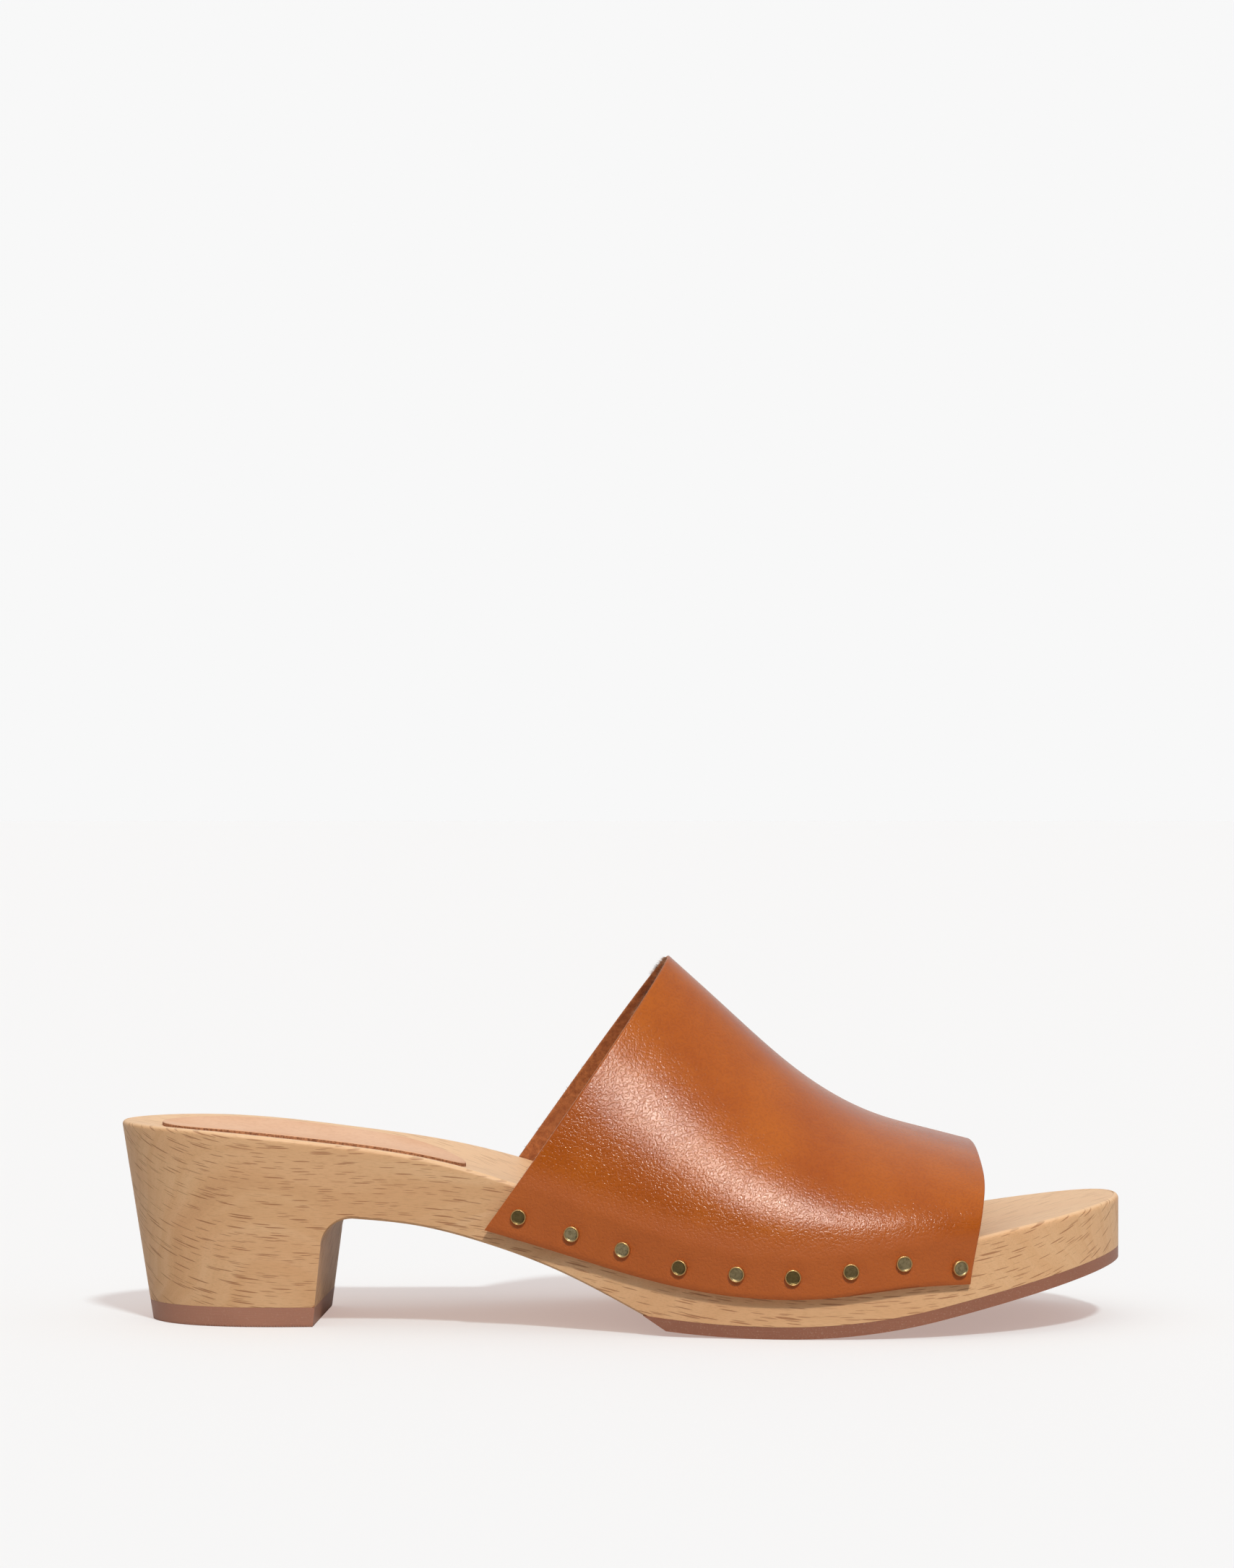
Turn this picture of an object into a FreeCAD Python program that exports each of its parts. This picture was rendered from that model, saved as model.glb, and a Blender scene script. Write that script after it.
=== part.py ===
import FreeCAD, Part
import math
import os

Vector = FreeCAD.Vector

# A right-foot mule clog. +X runs from heel to toe, -Y is the outer (lateral) side, +Z is up.
# The clog stands on z = 0 with the middle of its box over the origin. Millimetres.

# --- driving dimensions -----------------------------------------------------------------
LIFT_THICK = 4.8          # rubber lift under the heel
OUTSOLE_THICK = 2.9       # rubber outsole under the forefoot
LEATHER_THICK = 2.0       # upper
PAD_THICK = 1.0           # heel pad
HEEL_TAPER = 7.9          # how much narrower each side of the heel is at the floor
FOOTBED_LEVEL = 50.0      # height at which the plan outline is given
DISH_DEPTH = 2.4          # hollow of the footbed below its rim
RIM_WIDTH = 2.5           # flat rim round the hollow
ARCH_EASE = 0.6           # eased edges of the arch and the breast
SKEW = 0.045              # the side profile is milled this much off square across the shoe

TACK_HEAD = 3.9           # diameter
TACK_HEAD_THICK = 0.9
TACK_SHANK = 1.6
TACK_LENGTH = 12.0        # below the head
TACK_SEAT = 0.1           # the flat head rides this far off the curved leather
NAIL_HEAD = 3.2
NAIL_HEAD_THICK = 0.8
NAIL_SHANK = 1.5
NAIL_LENGTH = 16.0
NAIL_SUNK = 1.2           # depth of the nail head in the rubber

# Plan outline of the wood at footbed level, from the back of the heel along the outer side
# to the toe, and back along the inner side.
OUTLINE = [
    (-122.8, -1.5), (-115.6, -18.5), (-98.0, -28.3), (-72.0, -29.3), (-42.0, -27.8),
    (-10.0, -33.3), (20.0, -42.2), (50.0, -45.6), (80.0, -41.8), (104.0, -29.5),
    (118.2, -12.5), (123.0, 6.5),
    (118.5, 23.5), (102.0, 37.0), (76.0, 45.4), (46.0, 46.0), (10.0, 41.0),
    (-26.0, 34.5), (-60.0, 28.6), (-96.0, 27.0), (-114.5, 16.0),
]
TOE = 11                  # place of the toe tip in the outline
SIDE_POINTS = 3           # outline points to each face of the side

# Height of the footbed's rim from heel to toe, and of the arch under the waist.
RIM = [(-130, 48.9), (-97, 47.6), (-69, 44.7), (-47, 41.3), (-26, 35.8), (5, 25.4),
       (38, 18.8), (60, 19.2), (88, 23.9), (106, 27.2), (132, 31.6)]
ARCH = [(-63.6, 26.5), (-48.0, 24.8), (-31.3, 20.7), (-14.5, 15.0), (7.1, 4.7)]
BREAST_FOOT = (-73.5, 0.0)
BREAST_TOP = (-71.3, 19.0)
WEDGE_FOOT = (14.8, -0.2)  # the arch's last slope carries on through the rubber

# Rocker of the forefoot: lowest at one line, then a rolling arc that runs into a straight toe.
ROCKER_X = 40.0
ROCKER_FRONT = 170.0
ROCKER_REAR = 290.0
TOE_SPRING = 13.0         # degrees

# Sections of the upper from throat to toe opening: foot (x, z) of the section on the sole's
# side, top (x, z) of its ridge, how far the ridge lies to the inner side, its fullness, and
# how far it is turned back on the inner side (mm back per mm across).
UPPER = [
    ((-33.4, 24.4), (11.9, 88.7), 4.0, 2.15, 0.025),
    ((-12.5, 18.7), (25.3, 76.5), 4.5, 2.15, 0.016),
    ((8.7, 13.2), (38.7, 64.4), 5.0, 2.15, 0.008),
    ((30.0, 10.0), (51.2, 55.2), 5.5, 2.2, 0.0),
    ((50.0, 10.1), (63.6, 49.1), 6.0, 2.25, 0.0),
    ((68.0, 12.2), (75.6, 45.6), 6.0, 2.3, 0.0),
    ((83.4, 12.7), (87.1, 42.6), 6.0, 2.3, 0.0),
]
ARCH_ANGLES = (18, 38, 63, 90, 117, 142, 162)

# Tacks of the outer side, hand set: (x, height).
OUTER_TACKS = [(-24.1, 27.6), (-11.3, 23.9), (0.9, 20.6), (14.4, 16.8), (27.6, 15.5),
               (40.5, 14.9), (54.1, 16.3), (66.4, 18.2), (79.4, 16.9)]
INNER_TACKS = [(-23.4, 27.3), (-10.6, 23.6), (2.2, 19.9), (15.2, 17.0), (28.0, 15.2),
               (41.2, 15.2), (53.9, 16.0), (66.8, 17.6), (79.2, 17.2)]
LIFT_NAILS = [(-106, -9), (-106, 8), (-84, -13), (-84, 13)]

PAD = [(-112.8, -1.0), (-105.0, -15.3), (-88.0, -20.8), (-65.0, -19.6), (-48.0, -15.5),
       (-38.2, 0.5), (-48.0, 15.5), (-65.0, 19.0), (-88.0, 19.6), (-105.0, 13.5)]


# --- curves ------------------------------------------------------------------------------
def spline(points, **options):
    curve = Part.BSplineCurve()
    curve.interpolate(Points=points, **options)
    return curve


def side_curve(points):
    """Smooth curve in the side view through (x, z) points."""
    return spline([Vector(x, 0, z) for x, z in points])


def chord_lengths(points):
    """Running length along the closed polygon, used as the outline's parameters."""
    lengths = [0.0]
    for here, there in zip(points, points[1:] + points[:1]):
        lengths.append(lengths[-1] + (there - here).Length)
    return lengths


def closed_spline(points, lengths=None):
    return spline(points, PeriodicFlag=True, Parameters=lengths or chord_lengths(points))


def at_x(curve, x, start, end):
    """Parameter of the point at x, on a stretch where x only grows from start to end."""
    for _ in range(48):
        middle = (start + end) / 2
        if curve.value(middle).x < x:
            start = middle
        else:
            end = middle
    return start


def smooth(value, low, high):
    """Runs softly from 0 at low to 1 at high."""
    t = max(0.0, min(1.0, (value - low) / (high - low)))
    return t * t * (3 - 2 * t)


OUTLINE_POINTS = [Vector(x, y, 0) for x, y in OUTLINE]
LENGTHS = chord_lengths(OUTLINE_POINTS)
PLAN = closed_spline(OUTLINE_POINTS, LENGTHS)
RIM_CURVE = side_curve(RIM)


def outline_at(x, inner_side):
    """Point and outward normal of the sole's side at x."""
    start = LENGTHS[-1] if inner_side else 0.0
    where = at_x(PLAN, x, start, LENGTHS[TOE])
    along = PLAN.tangent(where)[0]
    return PLAN.value(where), Vector(along.y, -along.x, 0)


def rim_height(x):
    return RIM_CURVE.value(at_x(RIM_CURVE, x, RIM_CURVE.FirstParameter, RIM_CURVE.LastParameter)).z


# --- sole --------------------------------------------------------------------------------
def level_wire(z):
    """Plan outline at one height: the heel draws in towards the floor, the forefoot is upright."""
    points = []
    for point, length in zip(OUTLINE_POINTS, LENGTHS):
        along = PLAN.tangent(length)[0]
        inward = Vector(-along.y, along.x, 0)
        taper = HEEL_TAPER * (1 - smooth(point.x, -72, -5)) * (FOOTBED_LEVEL - z) / FOOTBED_LEVEL
        points.append(Vector(point.x, point.y, z) + inward * taper)
    curve = closed_spline(points, LENGTHS)
    joins = LENGTHS[::SIDE_POINTS]
    return Part.Wire([curve.toShape(start, end) for start, end in zip(joins, joins[1:])])


def across(wire_edges):
    """Solid that runs right across the shoe below a side-view outline."""
    half = 70
    run = Vector(2 * half * SKEW, 2 * half, 0)
    solid = Part.Face(Part.Wire(wire_edges)).extrude(run)
    solid.translate(run * -0.5)
    return solid


def polyline(points):
    corners = [Vector(x, 0, z) for x, z in points]
    return [Part.makeLine(a, b) for a, b in zip(corners, corners[1:])]


def arch_space():
    """The space under the waist, from the heel's breast to the wedge end of the outsole."""
    turn = math.radians(52)
    corner_x, corner_z = ARCH[0][0], BREAST_TOP[1]
    radius_x, radius_z = corner_x - BREAST_TOP[0], ARCH[0][1] - corner_z
    mid = (corner_x - radius_x * math.cos(turn), corner_z + radius_z * math.sin(turn))
    bend = Part.Arc(*[Vector(x, 0, z) for x, z in (BREAST_TOP, mid, ARCH[0])]).toShape()
    below = -20
    foot_x = BREAST_FOOT[0]
    edges = polyline([ARCH[-1], WEDGE_FOOT, (WEDGE_FOOT[0] + 30, below), (foot_x, below),
                      BREAST_FOOT, BREAST_TOP])
    return across(edges + [bend, side_curve(ARCH).toShape()])


def below_rocker(raised):
    """Everything under the forefoot's rocker line, raised square to it by a thickness."""
    front, rear = ROCKER_FRONT - raised, ROCKER_REAR - raised

    def roll(radius, degrees):
        angle = math.radians(degrees)
        return (ROCKER_X + radius * math.sin(angle), raised + radius * (1 - math.cos(angle)))

    rear_end, rear_mid = roll(rear, -16), roll(rear, -8)
    front_mid, front_end = roll(front, TOE_SPRING / 2), roll(front, TOE_SPRING)
    toe_x = 140
    toe = (toe_x, front_end[1] + (toe_x - front_end[0]) * math.tan(math.radians(TOE_SPRING)))
    low = (ROCKER_X, raised)
    arcs = [Part.Arc(*[Vector(x, 0, z) for x, z in three]).toShape()
            for three in ((rear_end, rear_mid, low), (low, front_mid, front_end))]
    below = -30
    frame = polyline([front_end, toe, (toe_x, below), (rear_end[0], below), rear_end])
    return across(arcs + frame)


def footbed_height(x, y):
    """Rim height less a hollow that fades to nothing at the rim, the heel's back and the toes."""
    inside = max(-119.0, min(120.0, x))
    outer, inner = outline_at(inside, False)[0].y, outline_at(inside, True)[0].y
    half = max(1.0, (inner - outer) / 2 - RIM_WIDTH)
    t = min(1.0, abs(y - (outer + inner) / 2) / half)
    along = smooth(x, -124, -100) * (1 - smooth(x, 78, 121))
    return rim_height(x - SKEW * y) - DISH_DEPTH * along * (1 - t * t) ** 1.5


def above_footbed():
    """Everything above the foot's side of the wood."""
    columns = [-129 + 258 * i / 20 for i in range(21)]
    rows = [-58 + 116 * j / 14 for j in range(15)]
    surface = Part.BSplineSurface()
    surface.interpolate([[Vector(x, y, footbed_height(x, y)) for y in rows] for x in columns])
    return surface.toShape().extrude(Vector(0, 0, 60))


def box(low, high):
    size = [b - a for a, b in zip(low, high)]
    return Part.makeBox(*size, Vector(*low))


def ease_edges(sole):
    """Ease the edges where the arch and the breast meet the sides."""
    def is_under(face):
        flat = face.Surface.TypeId in ("Part::GeomPlane", "Part::GeomSurfaceOfExtrusion")
        return flat and face.CenterOfMass.x < ARCH[-1][0] and face.CenterOfMass.z > LIFT_THICK + 1

    under = {edge.hashCode() for face in sole.Faces if is_under(face) for edge in face.Edges}
    side = {edge.hashCode() for face in sole.Faces
            if not is_under(face) and abs(face.CenterOfMass.y) > 12 for edge in face.Edges}
    arch_edges = [edge for edge in sole.Edges if edge.hashCode() in under & side]
    return sole.makeChamfer(ARCH_EASE, arch_edges)


# --- upper -------------------------------------------------------------------------------
def upper_section(foot, top, shift, fullness, turn):
    """Closed wire of the leather in one plane that leans back over the foot.

    It stands on the sole's side up to the rim, then springs over the foot as a superellipse.
    """
    lean = Vector(top[0] - foot[0], 0, top[1] - foot[1])
    height = lean.Length
    lean.normalize()

    def place(y, up):
        return Vector(foot[0] + up * lean.x - turn * y, y, foot[1] + up * lean.z)

    def wall(up, inner_side):
        y = 0.0
        for _ in range(12):
            y = outline_at(place(y, up).x, inner_side)[0].y
        return place(y, up)

    rim = 0.0
    for _ in range(30):
        rim = (rim_height(foot[0] + rim * lean.x) - foot[1]) / lean.z
    outer_rim, inner_rim = wall(rim, False), wall(rim, True)
    middle, half = (outer_rim.y + inner_rim.y) / 2, (inner_rim.y - outer_rim.y) / 2
    clear = height - LEATHER_THICK - rim

    inside = [wall(rim * part, False) for part in (0, 0.5, 1)]
    for degrees in ARCH_ANGLES:
        c, s = math.cos(math.radians(degrees)), math.sin(math.radians(degrees))
        y = middle - half * math.copysign(abs(c) ** (2 / fullness), c) + shift * s
        inside.append(place(y, rim + clear * s ** (2 / fullness)))
    inside += [wall(rim * part, True) for part in (1, 0.5, 0)]

    inner_curve = spline(inside)
    square = Vector(-turn, 1, 0).cross(lean)
    outside = []
    for point in inside:
        along = inner_curve.tangent(inner_curve.parameter(point))[0]
        outward = square.cross(along)
        outside.append(point + outward.normalize() * LEATHER_THICK)
    edges = [inner_curve.toShape(), Part.makeLine(inside[-1], outside[-1]),
             spline(outside[::-1]).toShape(), Part.makeLine(outside[0], inside[0])]
    return Part.Wire(edges)


# --- fastenings --------------------------------------------------------------------------
def turned(profile, direction, place):
    """Solid turned about its own axis from (radius, along) points, set along a direction."""
    corners = [Vector(r, 0, along) for r, along in profile]
    face = Part.Face(Part.makePolygon(corners + corners[:1]))
    solid = face.revolve(Vector(0, 0, 0), Vector(0, 0, 1), 360)
    solid.Placement = FreeCAD.Placement(place, FreeCAD.Rotation(Vector(0, 0, 1), direction))
    return solid


def tack(place, outward):
    """Flat-headed clog tack: rolled rim, sunk centre, short pointed shank."""
    head, shank, thick = TACK_HEAD / 2, TACK_SHANK / 2, TACK_HEAD_THICK
    profile = [(0, -TACK_LENGTH), (shank, -TACK_LENGTH + 3), (shank, 0), (head, 0),
               (head, thick * 0.55), (head - 0.2, thick * 0.9), (head - 0.4, thick),
               (head - 0.65, thick * 0.9), (head - 0.85, thick * 0.7), (0, thick * 0.7)]
    return turned(profile, outward, place)


def lift_nail(x, y):
    """Wire nail driven up through the heel lift, its head sunk below the tread."""
    head, shank = NAIL_HEAD / 2, NAIL_SHANK / 2
    profile = [(0, 0), (head, 0), (head, NAIL_HEAD_THICK), (shank, NAIL_HEAD_THICK),
               (shank, NAIL_LENGTH - 3), (0, NAIL_LENGTH)]
    return turned(profile, Vector(0, 0, 1), Vector(x, y, NAIL_SUNK))


def tack_row(spots, inner_side):
    """Tacks square to one side of the sole, and the round holes that they need in the leather."""
    tacks, holes = [], []
    for x, z in spots:
        point, outward = outline_at(x, inner_side)
        on_wood = Vector(point.x, point.y, z)
        tacks.append(tack(on_wood + outward * (LEATHER_THICK + TACK_SEAT), outward))
        start = on_wood - outward * LEATHER_THICK
        holes.append(Part.makeCylinder(TACK_SHANK / 2, 3 * LEATHER_THICK, start, outward))
    return tacks, holes


# --- the clog ----------------------------------------------------------------------------
def build():
    block = Part.makeLoft([level_wire(-6), level_wire(56)], True, True)
    arch = arch_space()
    above = above_footbed()
    heel_tread = box((-140, -70, -10), (-60, 70, LIFT_THICK))
    forefoot_tread = below_rocker(OUTSOLE_THICK)

    wood = ease_edges(block.cut([arch, above, heel_tread, forefoot_tread]).Solids[0])
    pieces = {}
    pieces["heel_lift"] = block.common(box((-140, -70, 0), (-60, 70, LIFT_THICK))).cut(arch)
    outsole = block.common(forefoot_tread).cut([below_rocker(0), arch, heel_tread])
    pieces["forefoot_outsole"] = outsole

    pad = Part.Face(Part.Wire(closed_spline([Vector(x, y, 20) for x, y in PAD]).toShape()))
    pad = pad.extrude(Vector(0, 0, 60)).common(above)
    pieces["heel_pad"] = pad.cut(above.translated(Vector(0, 0, PAD_THICK)))

    upper = Part.makeLoft([upper_section(*section) for section in UPPER], True, False)

    for side, spots, inner_side in (("outer", OUTER_TACKS, False), ("inner", INNER_TACKS, True)):
        tacks, holes = tack_row(spots, inner_side)
        pieces.update({f"tack_{side}_{number}": piece for number, piece in enumerate(tacks, 1)})
        upper = upper.cut(holes)
        wood = wood.cut(tacks)
    for number, (x, y) in enumerate(LIFT_NAILS, 1):
        nail = lift_nail(x, y)
        hole = Part.makeCylinder(NAIL_HEAD / 2, NAIL_SUNK + 1, Vector(x, y, -1))
        pieces["heel_lift"] = pieces["heel_lift"].cut([nail, hole])
        wood = wood.cut(nail)
        pieces[f"lift_nail_{number}"] = nail
    pieces["leather_upper"] = upper
    pieces["wooden_sole"] = wood
    return pieces


def stand_at_origin(pieces):
    """Put the middle of the whole clog's box over the origin, and its lowest point on z = 0."""
    whole = Part.makeCompound(list(pieces.values())).optimalBoundingBox(False, False)
    shift = Vector(-(whole.XMin + whole.XMax) / 2, -(whole.YMin + whole.YMax) / 2, -whole.ZMin)
    print("box", whole, "moved by", shift)
    return {name: piece.translated(shift) for name, piece in pieces.items()}


os.makedirs("parts", exist_ok=True)
for name, piece in stand_at_origin(build()).items():
    print(name, piece.ShapeType, len(piece.Solids), "valid", piece.isValid(), round(piece.Volume))
    piece.exportStep(f"parts/{name}.step")
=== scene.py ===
import math

import bmesh
import bpy
import numpy as np
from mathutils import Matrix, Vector


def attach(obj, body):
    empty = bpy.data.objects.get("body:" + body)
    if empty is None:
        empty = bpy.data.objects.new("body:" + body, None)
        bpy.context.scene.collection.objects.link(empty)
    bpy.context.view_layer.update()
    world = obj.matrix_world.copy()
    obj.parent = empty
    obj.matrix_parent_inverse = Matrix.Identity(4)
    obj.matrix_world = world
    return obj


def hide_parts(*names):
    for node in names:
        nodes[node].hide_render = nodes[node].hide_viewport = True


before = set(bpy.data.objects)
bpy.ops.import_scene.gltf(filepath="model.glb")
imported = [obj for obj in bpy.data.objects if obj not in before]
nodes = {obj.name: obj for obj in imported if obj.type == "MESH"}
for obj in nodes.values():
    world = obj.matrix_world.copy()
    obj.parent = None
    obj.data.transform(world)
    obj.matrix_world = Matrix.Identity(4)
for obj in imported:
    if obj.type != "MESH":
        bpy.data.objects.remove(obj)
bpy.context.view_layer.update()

# --- wooden sole ---------------------------------------------------------------------------
# One block of steamed beech: heel, waist and forefoot milled in one piece, the sides sanded and
# the rim of the footbed rounded over. Millimetres, +X to the toe and -Y to the outer side.
outline = np.array([
    (-122.8, -1.5), (-115.6, -18.5), (-98.0, -28.3), (-72.0, -29.3), (-42.0, -27.8),
    (-10.0, -33.3), (20.0, -42.2), (50.0, -45.6), (80.0, -41.8), (104.0, -29.5),
    (118.2, -12.5), (123.0, 6.5), (118.5, 23.5), (102.0, 37.0), (76.0, 45.4), (46.0, 46.0),
    (10.0, 41.0), (-26.0, 34.5), (-60.0, 28.6), (-96.0, 27.0), (-114.5, 16.0)])
rim_line = np.array([(-130, 48.9), (-97, 47.6), (-69, 44.7), (-47, 41.3), (-26, 35.8), (5, 25.4),
                     (38, 18.8), (60, 19.2), (88, 23.9), (106, 27.2), (132, 31.6)])
arch_line = np.array([(-63.6, 26.5), (-48.0, 24.8), (-31.3, 20.7), (-14.5, 15.0), (7.1, 4.7)])
skew = 0.045
lift_thick, outsole_thick = 4.8, 2.9
heel_taper = 7.9
hollow_deep, flat_rim = 2.4, 2.5
rim_round = 1.1
ball_x, fore_radius, rear_radius, toe_rise = 40, 170, 290, math.radians(13)
breast_foot, breast_top = (-72.94, lift_thick), (-71.3, 19)
arch_turn = (7.7, 7.5)
middle = np.array([-0.1235, -0.4705, 0.0])


def fair_curve(at, points, closed=False):
    """Smooth curve through points: cubic pieces whose slope and bend carry on at each join.

    The bends at the joins are solved together from the slopes' differences; the curve's ends
    are unbent. Gives a function of the parameter, and its slope on request."""
    at, points = np.asarray(at, float), np.asarray(points, float)
    if closed:
        points = np.concatenate([points, points[:1]])
    step = np.diff(at)
    slope = np.diff(points, axis=0) / step.reshape(-1, *[1] * (points.ndim - 1))
    count = len(at)
    matrix = np.eye(count)
    right = np.zeros_like(points)
    row = np.arange(1, count - 1)
    matrix[row, row - 1], matrix[row, row + 1] = step[:-1], step[1:]
    matrix[row, row] = 2 * (step[:-1] + step[1:])
    right[1:-1] = 6 * np.diff(slope, axis=0)
    if closed:
        matrix[0] = 0
        matrix[0, [0, 1, count - 2]] = 2 * (step[0] + step[-1]), step[0], step[-1]
        right[0] = 6 * (slope[0] - slope[-1])
        matrix[-1, 0] = -1
    bend = np.linalg.solve(matrix, right)

    def value(where, sloped=False):
        where = np.asarray(where, float)
        if closed:
            where = np.mod(where, at[-1])
        piece = np.clip(np.searchsorted(at, where, side="right") - 1, 0, count - 2)
        long = step[piece]
        b = (where - at[piece]) / long
        a = 1 - b
        if points.ndim > 1:
            a, b, long = a[..., None], b[..., None], long[..., None]
        low, high, bl, bh = points[piece], points[piece + 1], bend[piece], bend[piece + 1]
        if sloped:
            return (high - low) / long + long / 6 * ((3 * b * b - 1) * bh - (3 * a * a - 1) * bl)
        return a * low + b * high + long * long / 6 * ((a ** 3 - a) * bl + (b ** 3 - b) * bh)

    return value


def soft_step(value, low, high):
    """Runs softly from 0 at low to 1 at high."""
    t = np.clip((value - low) / (high - low), 0, 1)
    return t * t * (3 - 2 * t)


rounds = np.concatenate([[0], np.cumsum(np.linalg.norm(
    np.roll(outline, -1, 0) - outline, axis=1))])
plan = fair_curve(rounds, outline, closed=True)
rim_height = fair_curve(rim_line[:, 0], rim_line[:, 1])
fine = np.linspace(0, rounds[-1], 6001)[:-1]
fine_plan = plan(fine)
fine_across = fine_plan[:, 0] - skew * fine_plan[:, 1]
back_at, tip_at = fine[np.argmin(fine_across)], fine[np.argmax(fine_across)]
back_at = back_at - rounds[-1] if back_at > rounds[-1] / 2 else back_at
outer_at = np.linspace(back_at, tip_at, 3000)
inner_at = np.linspace(back_at + rounds[-1], tip_at, 3000)


def inward_at(where):
    """Unit normal into the sole: the plan's direction turned a quarter to the left."""
    along = plan(where, sloped=True)
    along = along / np.linalg.norm(along, axis=-1, keepdims=True)
    return np.stack([-along[..., 1], along[..., 0]], -1)


def side_point(where, z, inset=0.0):
    """Point of the sole's side: the plan at that place, drawn in towards the floor at the heel."""
    flat = plan(where)
    taper = heel_taper * (1 - soft_step(flat[..., 0], -72, -5)) * (50 - z) / 50
    flat = flat + inward_at(where) * (taper + inset)[..., None]
    return np.concatenate([flat, np.broadcast_to(z, flat.shape[:-1])[..., None]], -1)


def edge_across(on):
    """Gives one side's y at any x, read between close points of the plan."""
    table = plan(on)
    return lambda x: np.interp(x, table[:, 0], table[:, 1])


outer_y, inner_y = edge_across(outer_at), edge_across(inner_at)


def footbed_height(x, y):
    """The rim's height less a shallow hollow, which fades out near the rim and at the ends."""
    inside = np.clip(x, -119, 120)
    outer, inner = outer_y(inside), inner_y(inside)
    half = np.maximum(1, (inner - outer) / 2 - flat_rim)
    t = np.minimum(1, abs(y - (outer + inner) / 2) / half)
    along = soft_step(x, -124, -100) * (1 - soft_step(x, 78, 121))
    return rim_height(x - skew * y) - hollow_deep * along * (1 - t * t) ** 1.5


def rocker(x, raised):
    """Height of the tread's rolling line: two arcs that meet under the ball, then a straight toe."""
    front, rear = fore_radius - raised, rear_radius - raised
    last = ball_x + front * math.sin(toe_rise)
    reach = np.clip(x, ball_x - rear * 0.9, last) - ball_x
    arc = np.where(x < ball_x, rear - np.sqrt(rear ** 2 - reach ** 2),
                   front - np.sqrt(front ** 2 - np.maximum(reach, 0) ** 2))
    return raised + arc + np.maximum(x - last, 0) * math.tan(toe_rise)


def place_on_side(line, on):
    """Places on one side of the plan where it crosses the milled line's (x, z) points."""
    table = plan(on)
    across = table[:, 0] - skew * table[:, 1]
    where = np.interp(line[:, 0], across, on)
    for _ in range(6):
        point = side_point(where, line[:, 1])
        off = line[:, 0] - (point[:, 0] - skew * point[:, 1])
        where = where + off * np.sign(on[-1] - on[0])
    return where


def mesh_piece(name, points, faces, materials, kinds=None, angle=35, uv=None):
    """Makes a piece from points in millimetres and faces, welded, facing outwards and smooth."""
    mesh = bpy.data.meshes.new(name)
    mesh.from_pydata((points + middle) * 0.001, [], faces)
    for material in materials:
        mesh.materials.append(material)
    if kinds is not None:
        mesh.polygons.foreach_set("material_index", np.asarray(kinds, np.int32))
    if uv is not None:
        layer = mesh.uv_layers.new(name="lay")
        corner = np.empty(len(mesh.loops), np.int32)
        mesh.loops.foreach_get("vertex_index", corner)
        layer.data.foreach_set("uv", uv[corner].astype(np.float32).ravel())
    work = bmesh.new()
    work.from_mesh(mesh)
    bmesh.ops.remove_doubles(work, verts=work.verts, dist=2e-6)
    bmesh.ops.dissolve_degenerate(work, dist=1e-7, edges=work.edges)
    if work.calc_volume(signed=True) < 0:
        bmesh.ops.reverse_faces(work, faces=work.faces)
    work.to_mesh(mesh)
    work.free()
    mesh.shade_smooth()
    mesh.set_sharp_from_angle(angle=math.radians(angle))
    piece = bpy.data.objects.new(name, mesh)
    bpy.context.scene.collection.objects.link(piece)
    return piece


def tube_faces(rows, ring):
    """Four-sided faces of a tube: each row is a closed ring of points, joined to the next row."""
    row, col = np.meshgrid(np.arange(rows - 1), np.arange(ring), indexing="ij")
    after = (col + 1) % ring
    return np.stack([row * ring + col, row * ring + after, (row + 1) * ring + after,
                     (row + 1) * ring + col], -1).reshape(-1, 4)


# The line under the sole as (x, z): breast, turn and arch are milled, then the tread rolls forward.
turn = np.linspace(0, math.pi / 2, 14)
arch_start, arch_end = arch_line[0, 0], arch_line[-1, 0]
arch_x = np.linspace(arch_start, arch_end, 72)[1:]
milled_line = np.concatenate([
    np.linspace(breast_foot, breast_top, 18),
    np.stack([arch_start - arch_turn[0] * np.cos(turn), 19 + arch_turn[1] * np.sin(turn)], -1)[1:],
    np.stack([arch_x, fair_curve(arch_line[:, 0], arch_line[:, 1])(arch_x)], -1)])
forward = np.linspace(arch_end, 66, 56)[1:]
under_line = np.concatenate([milled_line, np.stack([forward, rocker(forward, outsole_thick)], -1)])
heel_rows, toe_rows = 91, 111
sides = []
for on in (outer_at, inner_at):
    crossing = place_on_side(under_line, on)
    heel = np.linspace(on[0], crossing[0], heel_rows + 1)[:-1]
    toe = crossing[-1] + (on[-1] - crossing[-1]) * np.linspace(0, 1, toe_rows + 1)[1:]
    sides.append(np.concatenate([heel, crossing, toe]))
eased = np.full(len(sides[0]), 0.05)
eased[heel_rows:heel_rows + len(milled_line)] = 0.55


def lower_edge(where):
    """Height of the sole's lower edge at each row: the lift, the milled line, then the rocker."""
    level = np.full(len(where), lift_thick)
    toe = heel_rows + len(under_line)
    level[heel_rows:toe] = under_line[:, 1]
    flat = plan(where[toe:])
    level[toe:] = rocker(flat[:, 0] - skew * flat[:, 1], outsole_thick)
    return level


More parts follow.
